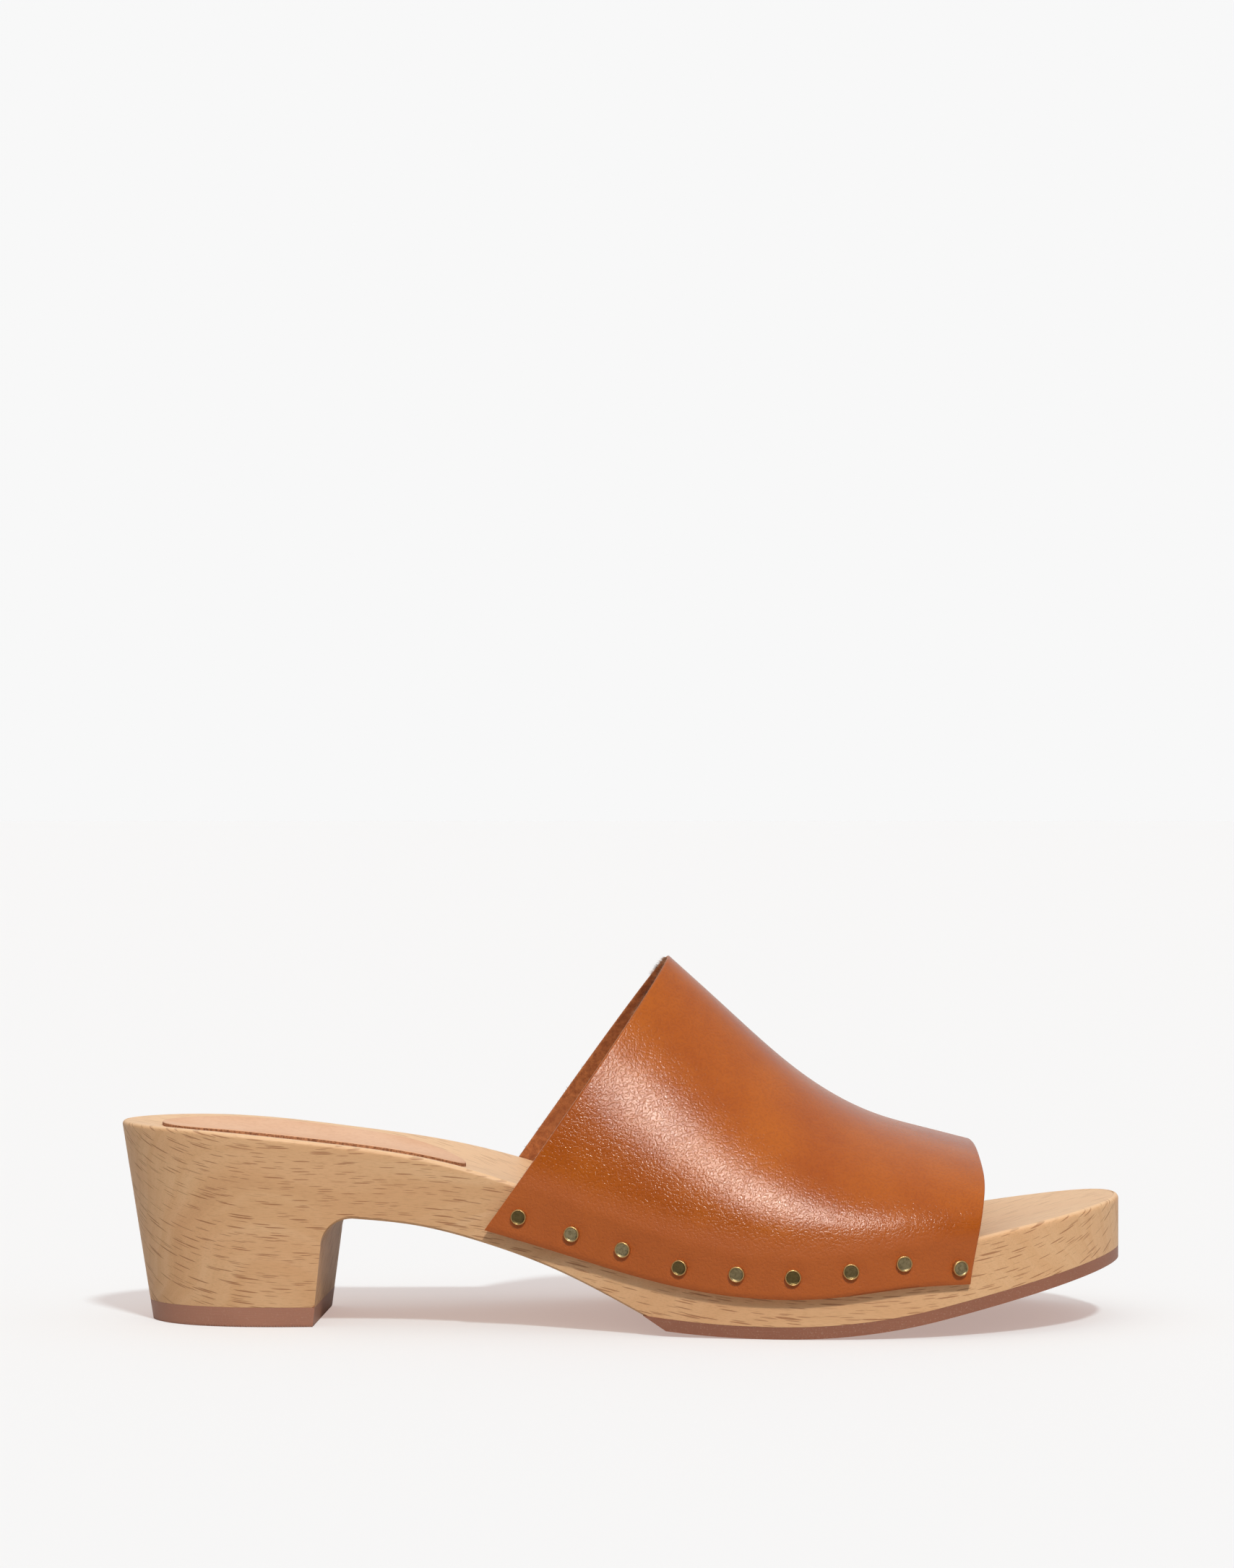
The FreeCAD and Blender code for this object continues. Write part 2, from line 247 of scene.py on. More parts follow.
def sole_ring():
    """Rings round the sole from heel to toe: underside, side, rounded rim, footbed and back down."""
    low = [lower_edge(where) for where in sides]
    curl = np.linspace(0, math.pi / 2, 6)
    walls = []
    for where, level in zip(sides, low):
        flat = plan(where)
        top = rim_height(flat[:, 0] - skew * flat[:, 1])
        rise = np.linspace(0, 1, 16)
        z = (level + eased)[:, None] + (top - rim_round - level - eased)[:, None] * rise
        wall = side_point(np.broadcast_to(where[:, None], z.shape), z, np.zeros_like(z))
        z = top[:, None] - rim_round + rim_round * np.sin(curl)
        inset = np.broadcast_to(rim_round * (1 - np.cos(curl)), z.shape)
        arris = side_point(np.broadcast_to(where[:, None], z.shape), z, inset)
        walls.append(np.concatenate([wall, arris[:, 1:]], 1))
    across = np.linspace(0, 1, 20)[None, :, None]
    feet = [side_point(where, level, eased) for where, level in zip(sides, low)]
    under = feet[0][:, None] * (1 - across) + feet[1][:, None] * across
    spread = np.linspace(0, 1, 62)[1:-1][None, :, None]
    spread = 0.35 * (1 - np.cos(math.pi * spread)) / 2 + 0.65 * spread
    bed = walls[1][:, -1:] * (1 - spread) + walls[0][:, -1:] * spread
    height = footbed_height(bed[..., 0], bed[..., 1])
    edge = np.minimum(spread, 1 - spread)[..., 0] * np.linalg.norm(
        walls[1][:, -1] - walls[0][:, -1], axis=1)[:, None]
    bed[..., 2] = height + (bed[..., 2] - height) * np.exp(-(edge / 1.2) ** 2)
    return np.concatenate([under, walls[1], bed, walls[0][:, ::-1]], 1)


def put(tree, kind, settings=(), **sockets):
    """Adds a shader node. Settings are its own choices; a socket gets a value or another socket."""
    made = tree.nodes.new("ShaderNode" + kind)
    for name, value in dict(settings).items():
        setattr(made, name, value)
    for name, value in sockets.items():
        which = int(name[1:]) if name[0] == "i" and name[1:].isdigit() else name.replace("_", " ")
        if isinstance(value, bpy.types.NodeSocket):
            tree.links.new(value, made.inputs[which])
        else:
            made.inputs[which].default_value = value
    return made


def sums(tree, operation, *values):
    """A Math node on values or sockets."""
    given = {f"i{number}": value for number, value in enumerate(values)}
    return put(tree, "Math", {"operation": operation}, **given).outputs[0]


def fade(tree, value, low, high, first=0.0, last=1.0):
    """Runs softly from first at low to last at high."""
    return put(tree, "MapRange", {"interpolation_type": "SMOOTHSTEP"}, Value=value, From_Min=low,
               From_Max=high, To_Min=first, To_Max=last).outputs[0]


def tint(tree, amount, one, two):
    """Mixes two colours by an amount."""
    made = put(tree, "Mix", {"data_type": "RGBA", "clamp_factor": True})
    for which, value in ((0, amount), (6, one), (7, two)):
        if isinstance(value, bpy.types.NodeSocket):
            tree.links.new(value, made.inputs[which])
        else:
            made.inputs[which].default_value = value
    return made.outputs[2]


def colour(red, green, blue):
    """A screen colour, 0 to 255, as the light it stands for."""
    c = np.array([red, green, blue]) / 255
    c = np.where(c <= 0.04045, c / 12.92, ((c + 0.055) / 1.055) ** 2.4)
    return (*[float(v) for v in c], 1.0)


def new_material(name):
    """An empty material with a Principled surface: returns it, its tree and the surface."""
    material = bpy.data.materials.new(name)
    material.use_nodes = True
    tree = material.node_tree
    tree.nodes.clear()
    surface = put(tree, "BsdfPrincipled")
    end = put(tree, "OutputMaterial")
    tree.links.new(surface.outputs[0], end.inputs[0])
    return material, tree, surface


def scaled(tree, along, across, through, x, y, z):
    """A position from three lengths, each counted in its own size of pattern, in metres."""
    return put(tree, "CombineXYZ", i0=sums(tree, "DIVIDE", along, x),
               i1=sums(tree, "DIVIDE", across, y), i2=sums(tree, "DIVIDE", through, z)).outputs[0]


def beech():
    """Beech under a clear satin oil: rays as short dark dashes, faint rings, fine pores, and painted
    light that pales the faces looking up.
    """
    material, tree, surface = new_material("beech")
    place = put(tree, "SeparateXYZ", i0=put(tree, "TexCoord").outputs["Object"])
    x, y, z = place.outputs
    behind = sums(tree, "MINIMUM", sums(tree, "ADD", x, 0.055), 0.0)
    z = sums(tree, "SUBTRACT", z, sums(tree, "MULTIPLY", sums(tree, "POWER", behind, 2.0), 0.55))
    z = sums(tree, "ADD", z, sums(tree, "MULTIPLY", x, 0.035))
    ray = sums(tree, "ADD", sums(tree, "MULTIPLY", y, -0.5), sums(tree, "MULTIPLY", z, 0.866))
    ring = sums(tree, "ADD", sums(tree, "MULTIPLY", y, 0.866), sums(tree, "MULTIPLY", z, 0.5))
    wander = put(tree, "TexNoise", Vector=scaled(tree, x, ray, ring, 0.09, 0.03, 0.03), Scale=1.0,
                 Detail=2.0).outputs[0]
    ring_bent = sums(tree, "ADD", ring, sums(tree, "MULTIPLY", wander, 0.016))
    dashes = []
    for long, thick, seed in ((0.0100, 0.00056, 0.0), (0.0070, 0.00046, 7.3)):
        shifted = sums(tree, "ADD", ring, seed)
        cells = put(tree, "TexVoronoi", Vector=scaled(tree, x, ray, shifted, long, thick, 0.012),
                    Scale=1.0, Randomness=1.0)
        apart = put(tree, "SeparateColor", i0=cells.outputs["Color"])
        size = sums(tree, "ADD", 0.20, sums(tree, "MULTIPLY", apart.outputs[0], 0.13))
        dash = fade(tree, sums(tree, "DIVIDE", cells.outputs["Distance"], size), 0.75, 1.1, 1, 0)
        seen = fade(tree, apart.outputs[1], 0.1, 0.5)
        dashes.append(sums(tree, "MULTIPLY", dash, seen))
    fleck = sums(tree, "MAXIMUM", dashes[0], sums(tree, "MULTIPLY", dashes[1], 0.75))
    rings = put(tree, "TexNoise", Vector=scaled(tree, x, ray, ring_bent, 0.4, 0.2, 0.0021),
                Scale=1.0, Detail=3.0, Roughness=0.6).outputs[0]
    pores = put(tree, "TexNoise", Vector=scaled(tree, x, ray, ring, 0.0022, 0.00022, 0.00022),
                Scale=1.0, Detail=2.0, Roughness=0.6).outputs[0]
    cloud = put(tree, "TexNoise", Vector=scaled(tree, x, y, z, 0.05, 0.012, 0.012), Scale=1.0,
                Detail=2.0).outputs[0]
    base = tint(tree, fade(tree, rings, 0.32, 0.7), colour(226, 182, 136), colour(218, 170, 122))
    late = fade(tree, rings, 0.63, 0.74)
    base = tint(tree, sums(tree, "MULTIPLY", late, 0.22), base, colour(190, 136, 92))
    base = tint(tree, fade(tree, cloud, 0.3, 0.75, 0.0, 0.45), base, colour(220, 166, 118))
    base = tint(tree, fade(tree, pores, 0.45, 0.8, 0.0, 0.35), base, colour(176, 124, 80))
    base = tint(tree, sums(tree, "MULTIPLY", fleck, 0.62), base, colour(136, 72, 28))
    # Painted light: faces that look up are tinted paler, standing for the stronger light from above.
    facing = put(tree, "SeparateXYZ", i0=put(tree, "NewGeometry").outputs["True Normal"]).outputs[2]
    base = tint(tree, fade(tree, facing, 0.45, 0.9, 0, 0.38), base, colour(242, 208, 168))
    tree.links.new(base, surface.inputs["Base Color"])
    rough = sums(tree, "ADD", 0.46, sums(tree, "MULTIPLY", pores, 0.14))
    tree.links.new(sums(tree, "ADD", rough, sums(tree, "MULTIPLY", fleck, 0.1)),
                   surface.inputs["Roughness"])
    height = sums(tree, "SUBTRACT", sums(tree, "MULTIPLY", pores, -0.5), fleck)
    bump = put(tree, "Bump", Strength=0.25, Distance=0.00012, Height=height)
    tree.links.new(bump.outputs[0], surface.inputs["Normal"])
    surface.inputs["Coat Weight"].default_value = 0.08
    surface.inputs["Coat Roughness"].default_value = 0.35
    return material


wood = beech()
ring = sole_ring()
sole = mesh_piece("beech_sole", ring.reshape(-1, 3), tube_faces(*ring.shape[:2]), [wood])
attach(sole, "root")
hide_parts("wooden_sole")

# --- heel lift and forefoot outsole ----------------------------------------------------------
# Brown gum rubber, glued on and sanded flush with the wood, so that its side has a fine sawn look.
# The tread's edge under the heel is finely ribbed.
rib_pitch, rib_deep = 0.66, 0.34


def gum_rubber(name, pale, deep):
    """Gum rubber: slightly waxy, fine sanding lines along the side and dusty specks."""
    material, tree, surface = new_material(name)
    place = put(tree, "TexCoord").outputs["Object"]
    x, y, z = put(tree, "SeparateXYZ", i0=place).outputs
    cloud = put(tree, "TexNoise", Vector=place, Scale=60.0, Detail=3.0).outputs[0]
    grit = put(tree, "TexNoise", Vector=place, Scale=2600.0, Detail=2.0).outputs[0]
    lines = put(tree, "TexNoise", Vector=scaled(tree, x, y, z, 0.006, 0.006, 0.00018), Scale=1.0,
                Detail=1.0).outputs[0]
    base = tint(tree, cloud, pale, deep)
    base = tint(tree, fade(tree, grit, 0.55, 0.75, 0, 0.25), base, colour(205, 170, 150))
    tree.links.new(base, surface.inputs["Base Color"])
    tree.links.new(fade(tree, grit, 0.3, 0.8, 0.38, 0.6), surface.inputs["Roughness"])
    height = sums(tree, "ADD", lines, sums(tree, "MULTIPLY", grit, 0.5))
    bump = put(tree, "Bump", Strength=0.4, Distance=0.00008, Height=height)
    tree.links.new(bump.outputs[0], surface.inputs["Normal"])
    surface.inputs["Subsurface Weight"].default_value = 0.15
    surface.inputs["Subsurface Radius"].default_value = (0.002, 0.001, 0.0007)
    surface.inputs["Subsurface Scale"].default_value = 0.6
    return material


def ribbed_lift():
    """Rings of the lift from its tread up to the wood: the sole's side, and a flat front face.

    The tread's edge rises and falls as a cosine, one wave to a rib."""
    front = np.array([(-73.5, 0.0), breast_foot])
    levels = np.array([0.0, 0.36, 0.7, 2.0, 3.4, lift_thick])
    rings = []
    for z in levels:
        breast_x = np.interp(z, front[:, 1], front[:, 0])
        ends = [place_on_side(np.array([[breast_x, z]]), on)[0] for on in (outer_at, inner_at)]
        round_back = np.linspace(ends[0], ends[1] - rounds[-1], 1500)
        path = side_point(round_back, np.full(1500, z), np.zeros(1500))
        share = np.linspace(0, 1, 240)[1:-1, None]
        rings.append(np.concatenate([path, path[-1] * (1 - share) + path[0] * share]))
    run = np.linalg.norm(np.roll(rings[0], -1, 0) - rings[0], axis=1)
    run = np.cumsum(run) - run
    count = round(run[-1] / rib_pitch)
    rings[0][:, 2] = rib_deep * (0.5 - 0.5 * np.cos(2 * math.pi * count * run / run[-1]))
    tread = rings[0].mean(0) + 0.985 * (rings[0] - rings[0].mean(0))
    tread[:, 2] = 0
    centre = rings[-1].mean(0)
    rings = [tread] + rings + [centre + 0.97 * (rings[-1] - centre)]
    caps = [rings[0] * (1, 1, 0) * 0.002 + rings[0].mean(0) * 0.998]
    return np.array(caps + rings + [centre + 0.002 * (rings[-1] - centre)])


def refinish(name, material):
    """Gives a CAD node its own material in place of the plain one."""
    nodes[name].data.materials.clear()
    nodes[name].data.materials.append(material)


rubber = gum_rubber("gum_rubber", colour(184, 130, 106), colour(168, 116, 94))
rings = ribbed_lift()
closing = [list(range(rings.shape[1])),
           list(range((len(rings) - 1) * rings.shape[1], len(rings) * rings.shape[1]))[::-1]]
lift = mesh_piece("ribbed_heel_lift", rings.reshape(-1, 3),
                  tube_faces(*rings.shape[:2]).tolist() + closing, [rubber])
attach(lift, "root")
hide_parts("heel_lift")
# The forefoot outsole is the same rubber as the lift. Its darker copy of the rubber is painted shade,
# set from the shade it lies in under the ball.
refinish("forefoot_outsole",
         gum_rubber("gum_rubber_painted_shade", colour(158, 104, 80), colour(142, 90, 68)))

# --- lift nails ------------------------------------------------------------------------------
# Four wire nails through the lift into the heel, their heads sunk below the tread.


def wire_steel():
    """Dull drawn steel with a little scale in its colour."""
    material, tree, surface = new_material("wire_steel")
    place = put(tree, "TexCoord").outputs["Object"]
    scale = put(tree, "TexNoise", Vector=place, Scale=900.0, Detail=3.0).outputs[0]
    tree.links.new(tint(tree, scale, colour(150, 148, 144), colour(98, 92, 86)),
                   surface.inputs["Base Color"])
    tree.links.new(fade(tree, scale, 0.3, 0.7, 0.35, 0.6), surface.inputs["Roughness"])
    surface.inputs["Metallic"].default_value = 1.0
    return material


steel = wire_steel()
for number in range(1, 5):
    refinish(f"lift_nail_{number}", steel)

# --- heel pad --------------------------------------------------------------------------------
# A thin oval of undyed leather glued into the heel of the footbed, its edge cut and left raw.
pad_thick = 1.0
pad_outline = np.array([
    (-112.8, -1.0), (-105.0, -15.3), (-88.0, -20.8), (-65.0, -19.6), (-48.0, -15.5),
    (-38.2, 0.5), (-48.0, 15.5), (-65.0, 19.0), (-88.0, 19.6), (-105.0, 13.5)])


def pad_surface():
    """Rings from the pad's middle out over its softly rounded edge and back in underneath."""
    around = np.concatenate([[0], np.cumsum(np.linalg.norm(
        np.roll(pad_outline, -1, 0) - pad_outline, axis=1))])
    edge = fair_curve(around, pad_outline, closed=True)(
        np.linspace(0, around[-1], 221)[:-1])
    centre = np.array([-76.0, -0.3])
    length = np.linalg.norm(edge - centre, axis=1)
    share = np.concatenate([np.linspace(0.0, 1, 34)[:-1], np.ones(5), np.linspace(1, 0.0, 12)[1:]])
    inset = np.concatenate([np.full(33, 0.42), [0.42, 0.2, 0.05, 0, 0], np.zeros(11)])
    lift = np.concatenate([np.full(34, 1), [0.95, 0.8, 0.6, 0], np.full(11, -0.02)]) * pad_thick
    reach = share[:, None] * (1 - inset[:, None] / length)
    flat = centre + reach[..., None] * (edge - centre)
    z = footbed_height(flat[..., 0], flat[..., 1]) + lift[:, None]
    return np.concatenate([flat, z[..., None]], -1)


def leather_grain():
    """Node group: fine pebbled grain of the hair side. Gives a height and a mask of its valleys."""
    group = bpy.data.node_groups.new("leather_grain", "ShaderNodeTree")
    for name, kind, way in (("Position", "NodeSocketVector", "INPUT"),
                            ("Pebble Size", "NodeSocketFloat", "INPUT"),
                            ("Height", "NodeSocketFloat", "OUTPUT"),
                            ("Valleys", "NodeSocketFloat", "OUTPUT")):
        group.interface.new_socket(name=name, in_out=way, socket_type=kind)
    given, out = group.nodes.new("NodeGroupInput"), group.nodes.new("NodeGroupOutput")
    position = put(group, "VectorMath", {"operation": "SCALE"}, i0=given.outputs[0],
                   Scale=sums(group, "DIVIDE", 1.0, given.outputs[1])).outputs[0]
    large = put(group, "TexNoise", Vector=position, Scale=0.8, Detail=1.0)
    small = put(group, "TexNoise", Vector=position, Scale=2.1, Detail=2.0, Roughness=0.6)
    pebble = fade(group, large.outputs[0], 0.36, 0.56)
    height = sums(group, "ADD", sums(group, "MULTIPLY", pebble, 0.6),
                  sums(group, "MULTIPLY", small.outputs[0], 0.7))
    group.links.new(height, out.inputs[0])
    group.links.new(sums(group, "SUBTRACT", 1.0, pebble), out.inputs[1])
    return group


grain = leather_grain()


def grain_on(tree, position, size):
    """Places the grain group: returns its height and valleys."""
    made = tree.nodes.new("ShaderNodeGroup")
    made.node_tree = grain
    tree.links.new(position, made.inputs[0])
    made.inputs[1].default_value = size
    return made.outputs


def pad_leather():
    """Undyed vegetable-tanned leather: pale pinkish tan, matt, barely grained."""
    material, tree, surface = new_material("pad_leather")
    place = put(tree, "TexCoord").outputs["Object"]
    height, valleys = grain_on(tree, place, 0.0011)
    cloud = put(tree, "TexNoise", Vector=place, Scale=45.0, Detail=3.0).outputs[0]
    base = tint(tree, fade(tree, cloud, 0.3, 0.7), colour(228, 182, 146), colour(220, 170, 132))
    base = tint(tree, sums(tree, "MULTIPLY", valleys, 0.15), base, colour(190, 132, 96))
    tree.links.new(base, surface.inputs["Base Color"])
    tree.links.new(fade(tree, cloud, 0.3, 0.7, 0.52, 0.62), surface.inputs["Roughness"])
    bump = put(tree, "Bump", Strength=0.3, Distance=0.0001, Height=height)
    tree.links.new(bump.outputs[0], surface.inputs["Normal"])
    return material


def cut_leather():
    """A knife-cut edge: darker, with the fibres showing as fine lines along it."""
    material, tree, surface = new_material("cut_leather")
    place = put(tree, "TexCoord").outputs["Object"]
    fibre = put(tree, "TexNoise", Vector=place, Scale=1500.0, Detail=4.0, Roughness=0.7).outputs[0]
    tree.links.new(tint(tree, fade(tree, fibre, 0.35, 0.65), colour(120, 72, 42),
                        colour(186, 128, 88)), surface.inputs["Base Color"])
    surface.inputs["Roughness"].default_value = 0.8
    bump = put(tree, "Bump", Strength=0.6, Distance=0.00015, Height=fibre)
    tree.links.new(bump.outputs[0], surface.inputs["Normal"])
    return material


pad_skin, raw_edge = pad_leather(), cut_leather()
rings = pad_surface()
pad_faces = tube_faces(*rings.shape[:2])
pad_kinds = np.repeat(np.where(np.arange(len(rings) - 1) < 35, 0, 1), rings.shape[1])
pad = mesh_piece("heel_pad_leather", rings.reshape(-1, 3), pad_faces, [pad_skin, raw_edge],
                 pad_kinds, 60)
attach(pad, "root")
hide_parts("heel_pad")

# --- upper -----------------------------------------------------------------------------------
# One piece of thick glazed leather, 2.0 thick and unlined, stretched over the foot and tacked to
# both sides of the sole. All its edges are cut and left raw.
leather_thick = 2.0
upper_lines = np.array([
    # foot x, foot z, top x, top z, ridge shift, fullness, turn
    (-33.4, 24.4, 11.9, 88.7, 4.0, 2.15, 0.025), (-12.5, 18.7, 25.3, 76.5, 4.5, 2.15, 0.016),
    (8.7, 13.2, 38.7, 64.4, 5.0, 2.15, 0.008), (30.0, 10.0, 51.2, 55.2, 5.5, 2.2, 0.0),
    (50.0, 10.1, 63.6, 49.1, 6.0, 2.25, 0.0), (68.0, 12.2, 75.6, 45.6, 6.0, 2.3, 0.0),
    (83.4, 12.7, 87.1, 42.6, 6.0, 2.3, 0.0)])
outer_tacks = np.array([(-24.1, 27.6), (-11.3, 23.9), (0.9, 20.6), (14.4, 16.8), (27.6, 15.5),
                        (40.5, 14.9), (54.1, 16.3), (66.4, 18.2), (79.4, 16.9)])
inner_tacks = np.array([(-23.4, 27.3), (-10.6, 23.6), (2.2, 19.9), (15.2, 17.0), (28.0, 15.2),
                        (41.2, 15.2), (53.9, 16.0), (66.8, 17.6), (79.2, 17.2)])


def upper_inside(rows, columns):
    """Inner face of the upper: planes that lean back over the foot, from throat to toe opening.

    Each plane's line stands on the sole's side up to the rim, then springs over as a
    superellipse, whose ridge is shifted a little to the inner side."""
    gaps = np.linalg.norm(np.diff(upper_lines[:, :4], axis=0), axis=1)
    knots = np.concatenate([[0], np.cumsum(gaps)]) / gaps.sum()
    lines = fair_curve(knots, upper_lines)(np.asarray(rows))
    foot, top = lines[:, None, 0:2], lines[:, None, 2:4]
    shift, fullness, turned = lines[:, 4:5], lines[:, 5:6], lines[:, 6:7]
    lean = top - foot
    tall = np.linalg.norm(lean, axis=-1)
    lean = lean / tall[..., None]

    def at(y, up):
        return (foot[..., 0] + up * lean[..., 0] - turned * y, foot[..., 1] + up * lean[..., 1])

    rim = np.zeros_like(tall)
    for _ in range(40):
        rim = (rim_height(foot[..., 0] + rim * lean[..., 0]) - foot[..., 1]) / lean[..., 1]
    walls = []
    for side_y in (outer_y, inner_y):
        up = rim * np.linspace(0, 1, columns[0])
        y = np.zeros_like(up)
        for _ in range(14):
            y = side_y(at(y, up)[0])
        walls.append((up, y))
    (up_outer, y_outer), (up_inner, y_inner) = walls
    centre = (y_outer[:, -1:] + y_inner[:, -1:]) / 2
    half = (y_inner[:, -1:] - y_outer[:, -1:]) / 2
    clear = tall - leather_thick - rim
    angle = np.linspace(0, math.pi, columns[1] + 2)[None, 1:-1]
    c, s = np.cos(angle), np.sin(angle)
    y = centre - half * np.sign(c) * abs(c) ** (2 / fullness) + shift * s ** 1.6
    up = rim + clear * s ** (2 / fullness)
    up = np.concatenate([up_outer, up, up_inner[:, ::-1]], 1)
    y = np.concatenate([y_outer, y, y_inner[:, ::-1]], 1)
    x, z = at(y, up)
    points = np.stack([x, y, z], -1)
    plane = np.stack(np.broadcast_arrays(-turned, 1.0, 0.0), -1)
    plane = np.cross(plane, np.stack([lean[..., 0], 0 * tall, lean[..., 1]], -1))
    outward = np.cross(plane, np.gradient(points, axis=1))
    return points, outward / np.linalg.norm(outward, axis=-1, keepdims=True)


def tack_seats():
    """Middle and outward direction of each tack on the wood: its place on the plan, and height."""
    seats, ways = [], []
    for spots, on in ((outer_tacks, outer_at), (inner_tacks, inner_at)):
        where = np.interp(spots[:, 0], plan(on)[:, 0], on)
        seats.append(np.concatenate([plan(where), spots[:, 1:]], 1))
        ways.append(np.concatenate([-inward_at(where), np.zeros((len(spots), 1))], 1))
    return np.concatenate(seats), np.concatenate(ways)


seats, ways = tack_seats()


def upper_shell():
    """Closed shell: the outer face, the cut edges with their arrises worn round, the inner face."""
    curl = 0.32
    inner_rows = np.linspace(0, 1, 150)
    rows = np.concatenate([[0, 0.0008, 0.0028], inner_rows[1:-1], [1 - 0.0028, 1 - 0.0008, 1]])
    inside, normal = upper_inside(rows, (16, 190))
    share = np.linspace(0, 1, inside.shape[1])
    share = np.minimum(share, 1 - share)
    bulge = 0.65 * np.exp(-((share - 0.24) / 0.1) ** 2) - 0.85 * np.exp(-(share / 0.07) ** 2)
    inside[..., 0] += bulge * soft_step(rows, 0.8, 1)[:, None]
    worn = np.zeros(len(rows))
    worn[[0, 1, -2, -1]] = curl, curl * 0.35, curl * 0.35, curl
    worn = worn[:, None, None]
    width = np.zeros(inside.shape[1])
    width[[0, -1]] = curl
    width[[1, -2]] = curl * 0.1
    worn = np.maximum(worn, width[None, :, None])
    outer = inside + normal * (leather_thick - worn)
    inner = inside + normal * worn
    pull = np.zeros(inside.shape[:2])
    for seat, way in zip(seats, ways):
        gap = np.linalg.norm(outer - (seat + way * leather_thick), axis=-1)
        pull += 0.26 * np.exp(-(gap / 2.5) ** 2) - 0.05 * np.exp(-((gap - 4.2) / 1.6) ** 2)
    outer = outer - normal * pull[..., None]
    return outer, inner, rows


def shell_faces(rows, columns):
    """Faces of the shell: outer grid, inner grid turned over, and strips that close four edges."""
    grid = np.arange(rows * columns).reshape(rows, columns)
    under = grid + rows * columns

    def patch(a, b, c, d):
        return np.stack([a, b, c, d], -1).reshape(-1, 4)

    outer = patch(grid[:-1, :-1], grid[1:, :-1], grid[1:, 1:], grid[:-1, 1:])
    inner = patch(under[:-1, :-1], under[:-1, 1:], under[1:, 1:], under[1:, :-1])
    strips = [patch(grid[0, :-1], grid[0, 1:], under[0, 1:], under[0, :-1]),
              patch(grid[-1, 1:], grid[-1, :-1], under[-1, :-1], under[-1, 1:]),
              patch(grid[1:, 0], grid[:-1, 0], under[:-1, 0], under[1:, 0]),
              patch(grid[:-1, -1], grid[1:, -1], under[1:, -1], under[:-1, -1])]
    strips = np.concatenate(strips)
    kinds = np.concatenate([np.zeros(len(outer)), np.ones(len(inner)), np.full(len(strips), 2)])
    return np.concatenate([outer, inner, strips]), kinds


def upper_leather():
    """Glazed tan leather: deep caramel under the gloss, pinker and matt where it lies on the wood."""
    material, tree, surface = new_material("upper_leather")
    place = put(tree, "TexCoord").outputs["Object"]
    lay = put(tree, "SeparateXYZ", i0=put(tree, "UVMap", {"uv_map": "lay"}).outputs[0]).outputs
    height, valleys = grain_on(tree, place, 0.00050)
    cloud = put(tree, "TexNoise", Vector=place, Scale=38.0, Detail=4.0, Roughness=0.55).outputs[0]
    mottle = put(tree, "TexNoise", Vector=place, Scale=260.0, Detail=3.0, Roughness=0.6).outputs[0]
    base = tint(tree, fade(tree, cloud, 0.3, 0.7), colour(178, 91, 14), colour(162, 76, 8))
    base = tint(tree, fade(tree, mottle, 0.3, 0.8, 0, 0.2), base, colour(182, 93, 24))
    base = tint(tree, sums(tree, "MULTIPLY", valleys, 0.14), base, colour(112, 44, 8))
    edge = sums(tree, "MINIMUM", lay[0], sums(tree, "SUBTRACT", 1.0, lay[0]))
    band = fade(tree, edge, 0.075, 0.12, 1, 0)
    base = tint(tree, sums(tree, "MULTIPLY", band, 0.6), base, colour(180, 94, 44))
    tree.links.new(base, surface.inputs["Base Color"])
    rough = sums(tree, "ADD", 0.16, sums(tree, "MULTIPLY", mottle, 0.10))
    tree.links.new(sums(tree, "ADD", rough, sums(tree, "MULTIPLY", band, 0.24)),
                   surface.inputs["Roughness"])
    low = sums(tree, "MULTIPLY", cloud, 1.5)
    bump = put(tree, "Bump", Strength=0.42, Distance=0.00012, Height=sums(tree, "ADD", height, low))
    tree.links.new(bump.outputs[0], surface.inputs["Normal"])
    surface.inputs["Specular IOR Level"].default_value = 0.32
    return material


def flesh_side():
    """The unlined inside: brushed brown suede with loose fibres."""
    material, tree, surface = new_material("flesh_side")
    place = put(tree, "TexCoord").outputs["Object"]
    nap = put(tree, "TexNoise", Vector=place, Scale=700.0, Detail=5.0, Roughness=0.75).outputs[0]
    cloud = put(tree, "TexNoise", Vector=place, Scale=80.0, Detail=3.0).outputs[0]
    base = tint(tree, fade(tree, nap, 0.3, 0.7), colour(152, 84, 44), colour(200, 124, 72))
    base = tint(tree, fade(tree, cloud, 0.4, 0.8, 0, 0.4), base, colour(172, 100, 58))
    tree.links.new(base, surface.inputs["Base Color"])
    surface.inputs["Roughness"].default_value = 0.95
    bump = put(tree, "Bump", Strength=0.7, Distance=0.0002, Height=nap)
    tree.links.new(bump.outputs[0], surface.inputs["Normal"])
    return material


def upper_edge():
    """The upper's cut edge: light tan core between its dyed skin and the flesh side."""
    material, tree, surface = new_material("upper_edge")
    place = put(tree, "TexCoord").outputs["Object"]
    fibre = put(tree, "TexNoise", Vector=place, Scale=1300.0, Detail=4.0, Roughness=0.7).outputs[0]
    tree.links.new(tint(tree, fade(tree, fibre, 0.35, 0.65), colour(168, 98, 58),
                        colour(222, 158, 112)), surface.inputs["Base Color"])
    surface.inputs["Roughness"].default_value = 0.75
    bump = put(tree, "Bump", Strength=0.5, Distance=0.00012, Height=fibre)
    tree.links.new(bump.outputs[0], surface.inputs["Normal"])
    return material


